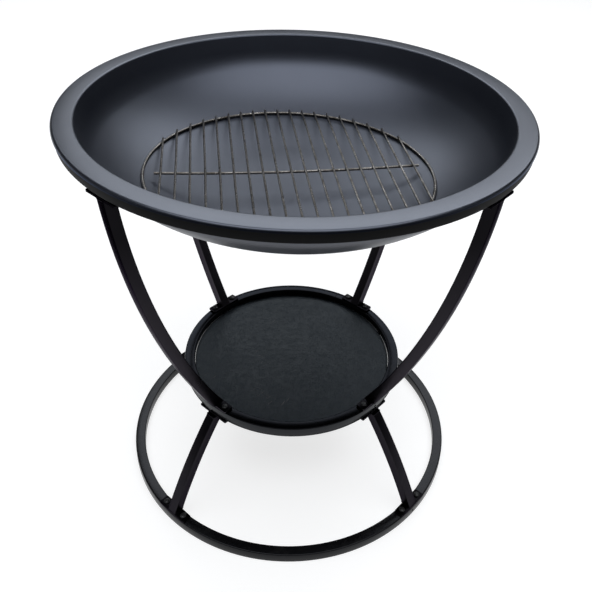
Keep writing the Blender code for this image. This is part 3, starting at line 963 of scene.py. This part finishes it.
def make_shelf(finishes):
    """The shelf plate, very slightly wavy, and the tacks that hold it in the ring."""
    radius, low, high = node_ring("shelf_plate")
    edge = SHELF_THICKNESS / 3
    rounds = [radius * index / SHELF_ROUNDS for index in range(SHELF_ROUNDS)]
    top = [(r, high) for r in rounds] + [(radius - edge, high), (radius, high - edge)]
    under = [(radius, low + edge), (radius - edge, low)] + [(r, low) for r in rounds[::-1]]
    bm = turned(top + under, SHELF_STEPS, closed=False)
    for vert in bm.verts:
        reach = vert.co.xy.length / radius
        angle = math.atan2(vert.co.y, vert.co.x)
        wave = SHELF_WAVE * reach * reach * math.sin(2 * angle + SHELF_WAVE_TURN)
        vert.co.z += wave + SHELF_CROWN * (1 - reach * reach)
    fit(finished(bm, "shelf_plate_sheet"), "stand", finishes["shelf"], "shelf_paint", "shelf_plate")
    tacks = bmesh.new()
    at = Matrix.Translation((radius - TACK_INSET, 0.0, high + TACK_LIFT))
    for index in range(TACK_COUNT):
        turn = math.radians(TACK_TURN + 360 / TACK_COUNT * index)
        merge(tacks, moved(nugget((0, 0, 0), TACK_SIZE), Matrix.Rotation(turn, 4, "Z") @ at))
    # The tacks take the middle ring's paint, with its painted shade on faces turned up.
    fit(finished(tacks, "shelf_tacks"), "stand", finishes["mid ring"], "stand_paint")


# Grate

def grate_pose():
    """The grate's pose at rest on the dish, as in the CAD model, and its ring's radius."""
    dish, dish_radius, _, _ = bowl_arcs()
    azimuth = math.radians(GRATE_SHIFT_AZIMUTH)
    ahead = dish_height(GRATE_SEAT_RADIUS + GRATE_SHIFT)
    behind = dish_height(GRATE_SEAT_RADIUS - GRATE_SHIFT)
    lean = math.atan2(ahead - behind, 2 * GRATE_SEAT_RADIUS)
    slope = math.asin((GRATE_SEAT_RADIUS - dish[0]) / dish_radius)
    reach = GRATE_RING_WIRE / 2 + SEAT_GAP
    height = (ahead + behind) / 2 + reach * math.cos(slope)
    shift = Vector((math.cos(azimuth), math.sin(azimuth), 0.0)) * GRATE_SHIFT
    across = Vector((math.sin(azimuth), -math.cos(azimuth), 0.0))
    pose = Matrix.Translation(shift + Vector((0.0, 0.0, height))) @ Matrix.Rotation(lean, 4, across)
    pose = pose @ Matrix.Rotation(math.radians(GRATE_TURN), 4, "Z")
    return pose, GRATE_SEAT_RADIUS - reach * math.sin(slope)


def bar_line(x, half):
    """Place across the grate of its cross bar, which is set askew and bent."""
    skew = math.tan(math.radians(GRATE_BAR_TURN)) * x
    return GRATE_BAR_OFFSET + skew + BAR_BOW * ((x / half) ** 2 - 0.5)


def wire_points(across, reach, height, sway):
    """A nearly straight wire along Y with rounded ends, and how its radius swells.

    sway is the wire's bend and rise, and where its slow and its quick wave start.
    """
    bend, rise, slow, quick = sway
    tip = GRATE_WIRE / 2
    points = [(across, -reach - tip * 0.55, height), (across, -reach - tip * 0.35, height)]
    for index in range(WIRE_STEPS + 1):
        t = 2 * index / WIRE_STEPS - 1
        stray = bend * math.sin(1.7 * t + slow) + 0.4 * bend * math.sin(5.1 * t + quick)
        points.append((across + stray * (1 - t * t), reach * t, height + rise * (1 - t * t)))
    points += [(across, reach + tip * 0.35, height), (across, reach + tip * 0.55, height)]
    return points, WIRE_TIP_SWELL + [1.0] * (WIRE_STEPS + 1) + WIRE_TIP_SWELL[::-1]


def make_grate(finish):
    """The grate's ring, cross bar and wires with a weld at every crossing."""
    pose, ring_radius = grate_pose()
    turns = [math.tau * index / GRATE_RING_STEPS for index in range(GRATE_RING_STEPS)]
    ring = [(ring_radius * math.cos(turn), ring_radius * math.sin(turn), 0.0) for turn in turns]
    bm = swept(ring, GRATE_RING_WIRE / 2, cyclic=True, sides=3)
    seam = (ring_radius * GRATE_SEAM_AT[0], ring_radius * GRATE_SEAM_AT[1], 0.0)
    merge(bm, nugget(seam, GRATE_SEAM_SIZE))
    half = math.sqrt((ring_radius - GRATE_BAR_INSET) ** 2 - GRATE_BAR_OFFSET ** 2)
    steps = [half * (2 * index / BAR_STEPS - 1) for index in range(BAR_STEPS + 1)]
    bar = [(x, bar_line(x, half), 0.0) for x in steps]
    merge(bm, swept(bar, GRATE_RING_WIRE / 2 * BAR_SLIMNESS, sides=3))
    height = (GRATE_RING_WIRE + GRATE_WIRE) / 2 - GRATE_WELD
    end_radius = ring_radius + GRATE_RING_WIRE / 2 + GRATE_WIRE_PAST_RING
    pitch = 2 * (ring_radius - GRATE_WIRE_MARGIN) / (GRATE_WIRE_COUNT + 1)
    contact = (height - GRATE_WELD) / 2 + CROSSING_LIFT
    wide, long, tall = CROSSING_SIZE
    for index in range(GRATE_WIRE_COUNT):
        across = (index - (GRATE_WIRE_COUNT - 1) / 2) * pitch
        reach = math.sqrt(end_radius ** 2 - (abs(across) + GRATE_WIRE / 2) ** 2)
        bend = random.uniform(-1, 1) * WIRE_STRAY
        rise = random.uniform(-0.4, 0.8) * WIRE_STRAY
        starts = random.uniform(0, 6), random.uniform(0, 6)
        points, swell = wire_points(across, reach, height, (bend, rise, *starts))
        merge(bm, swept(points, GRATE_WIRE / 2, swell, sides=2))
        ring_y = math.sqrt(ring_radius ** 2 - across ** 2)
        for y in (-ring_y, ring_y, bar_line(across, half)):
            spread = random.uniform(0.8, 1.2)
            merge(bm, nugget((across, y, contact), (wide * spread, long * spread, tall)))
    fit(finished(moved(bm, pose), "grate_welded", 40.0), "grate", finish, "grate_steel", "grate")


# Studio

def make_floor():
    """Pale floor that keeps a soft shadow, shows white to the camera and is clear from below."""
    bm = bmesh.new()
    bmesh.ops.create_circle(bm, cap_ends=True, segments=FLOOR_STEPS, radius=FLOOR_REACH)
    floor = finished(bm, "floor")
    made, g, shader, _ = new_material("floor pale")
    shader.inputs["Base Color"].default_value = FLOOR_PAINT
    shader.inputs["Roughness"].default_value = 0.9
    shader.inputs["Specular IOR Level"].default_value = 0.0
    path = g.add("ShaderNodeLightPath")
    seen = g.math("MAXIMUM", path.outputs["Is Camera Ray"], path.outputs["Is Glossy Ray"])
    seen = g.math("MAXIMUM", seen, path.outputs["Is Transmission Ray"])
    glow = g.add("ShaderNodeEmission")
    glow.inputs["Strength"].default_value = FLOOR_GLOW
    dark = g.add("ShaderNodeEmission")
    dark.inputs["Strength"].default_value = 0.0
    choose = g.add("ShaderNodeMixShader")
    g.join(seen, choose.inputs[0])
    g.join(dark.outputs[0], choose.inputs[1])
    g.join(glow.outputs[0], choose.inputs[2])
    both = g.add("ShaderNodeAddShader")
    g.join(shader.outputs[0], both.inputs[0])
    g.join(choose.outputs[0], both.inputs[1])
    clear = g.add("ShaderNodeBsdfTransparent")
    side = g.add("ShaderNodeMixShader")
    g.join(g.add("ShaderNodeNewGeometry").outputs["Backfacing"], side.inputs[0])
    g.join(both.outputs[0], side.inputs[1])
    g.join(clear.outputs[0], side.inputs[2])
    g.join(side.outputs[0], made.node_tree.nodes["Material Output"].inputs["Surface"])
    floor.data.materials.append(made)


def make_world():
    """Studio walls: pale low down, dim higher up."""
    world = bpy.data.worlds.new("studio")
    bpy.context.scene.world = world
    world.use_nodes = True
    g = Graph(world.node_tree)
    height = g.split(g.add("ShaderNodeTexCoord").outputs["Generated"])["Z"]
    fall = g.remap(height, *WALL_FADE, WALL_PALE, WALL_DIM)
    below = g.remap(height, *GROUND_FADE, 0.0, GROUND_PALE)
    back = world.node_tree.nodes["Background"]
    back.inputs["Color"].default_value = WALL_COLOUR
    g.join(g.math("MAXIMUM", fall, below), back.inputs["Strength"])


def softbox(name, place, aim, width, depth, radiance, colour):
    """A rectangular softbox that shines with one radiance all over."""
    data = bpy.data.lights.new(name, "AREA")
    data.shape = "RECTANGLE"
    data.size = width
    data.size_y = depth
    data.energy = radiance * math.pi * width * depth
    data.color = colour
    lamp = link(bpy.data.objects.new(name, data))
    lamp.location = place
    lamp.rotation_euler = (Vector(aim) - Vector(place)).to_track_quat("-Z", "Y").to_euler()


def make_camera():
    """The camera that took the photograph, as fitted to it."""
    yaw = math.radians(CAMERA_YAW)
    pitch = math.radians(CAMERA_PITCH)
    roll = math.radians(CAMERA_ROLL)
    flat = math.cos(pitch)
    ahead = Vector((-math.sin(yaw) * flat, math.cos(yaw) * flat, -math.sin(pitch)))
    level = Vector((math.cos(yaw), math.sin(yaw), 0.0))
    upright = level.cross(ahead)
    right = level * math.cos(roll) + upright * math.sin(roll)
    up = upright * math.cos(roll) - level * math.sin(roll)
    data = bpy.data.cameras.new("camera")
    data.sensor_width = SENSOR
    data.lens = FOCAL_PIXELS / PHOTO_SIDE * SENSOR
    data.shift_x = (PHOTO_SIDE / 2 - AXIS_PIXEL[0]) / PHOTO_SIDE
    data.shift_y = (AXIS_PIXEL[1] - PHOTO_SIDE / 2) / PHOTO_SIDE
    data.clip_start = 0.01
    camera = link(bpy.data.objects.new("camera", data))
    turn = Matrix((right, up, -ahead)).transposed().to_4x4()
    camera.matrix_world = Matrix.Translation(CAMERA_PLACE) @ turn
    bpy.context.scene.camera = camera


bpy.context.scene.view_settings.view_transform = "Standard"
random.seed(SEED)
finishes = make_finishes()
make_bowl(finishes["bowl"])
make_rings(finishes)
make_legs(finishes)
make_fasteners(finishes["bolt"])
make_shelf(finishes)
make_grate(finishes["grate"])
make_floor()
make_world()
for box in SOFTBOXES:
    softbox(*box)
make_camera()
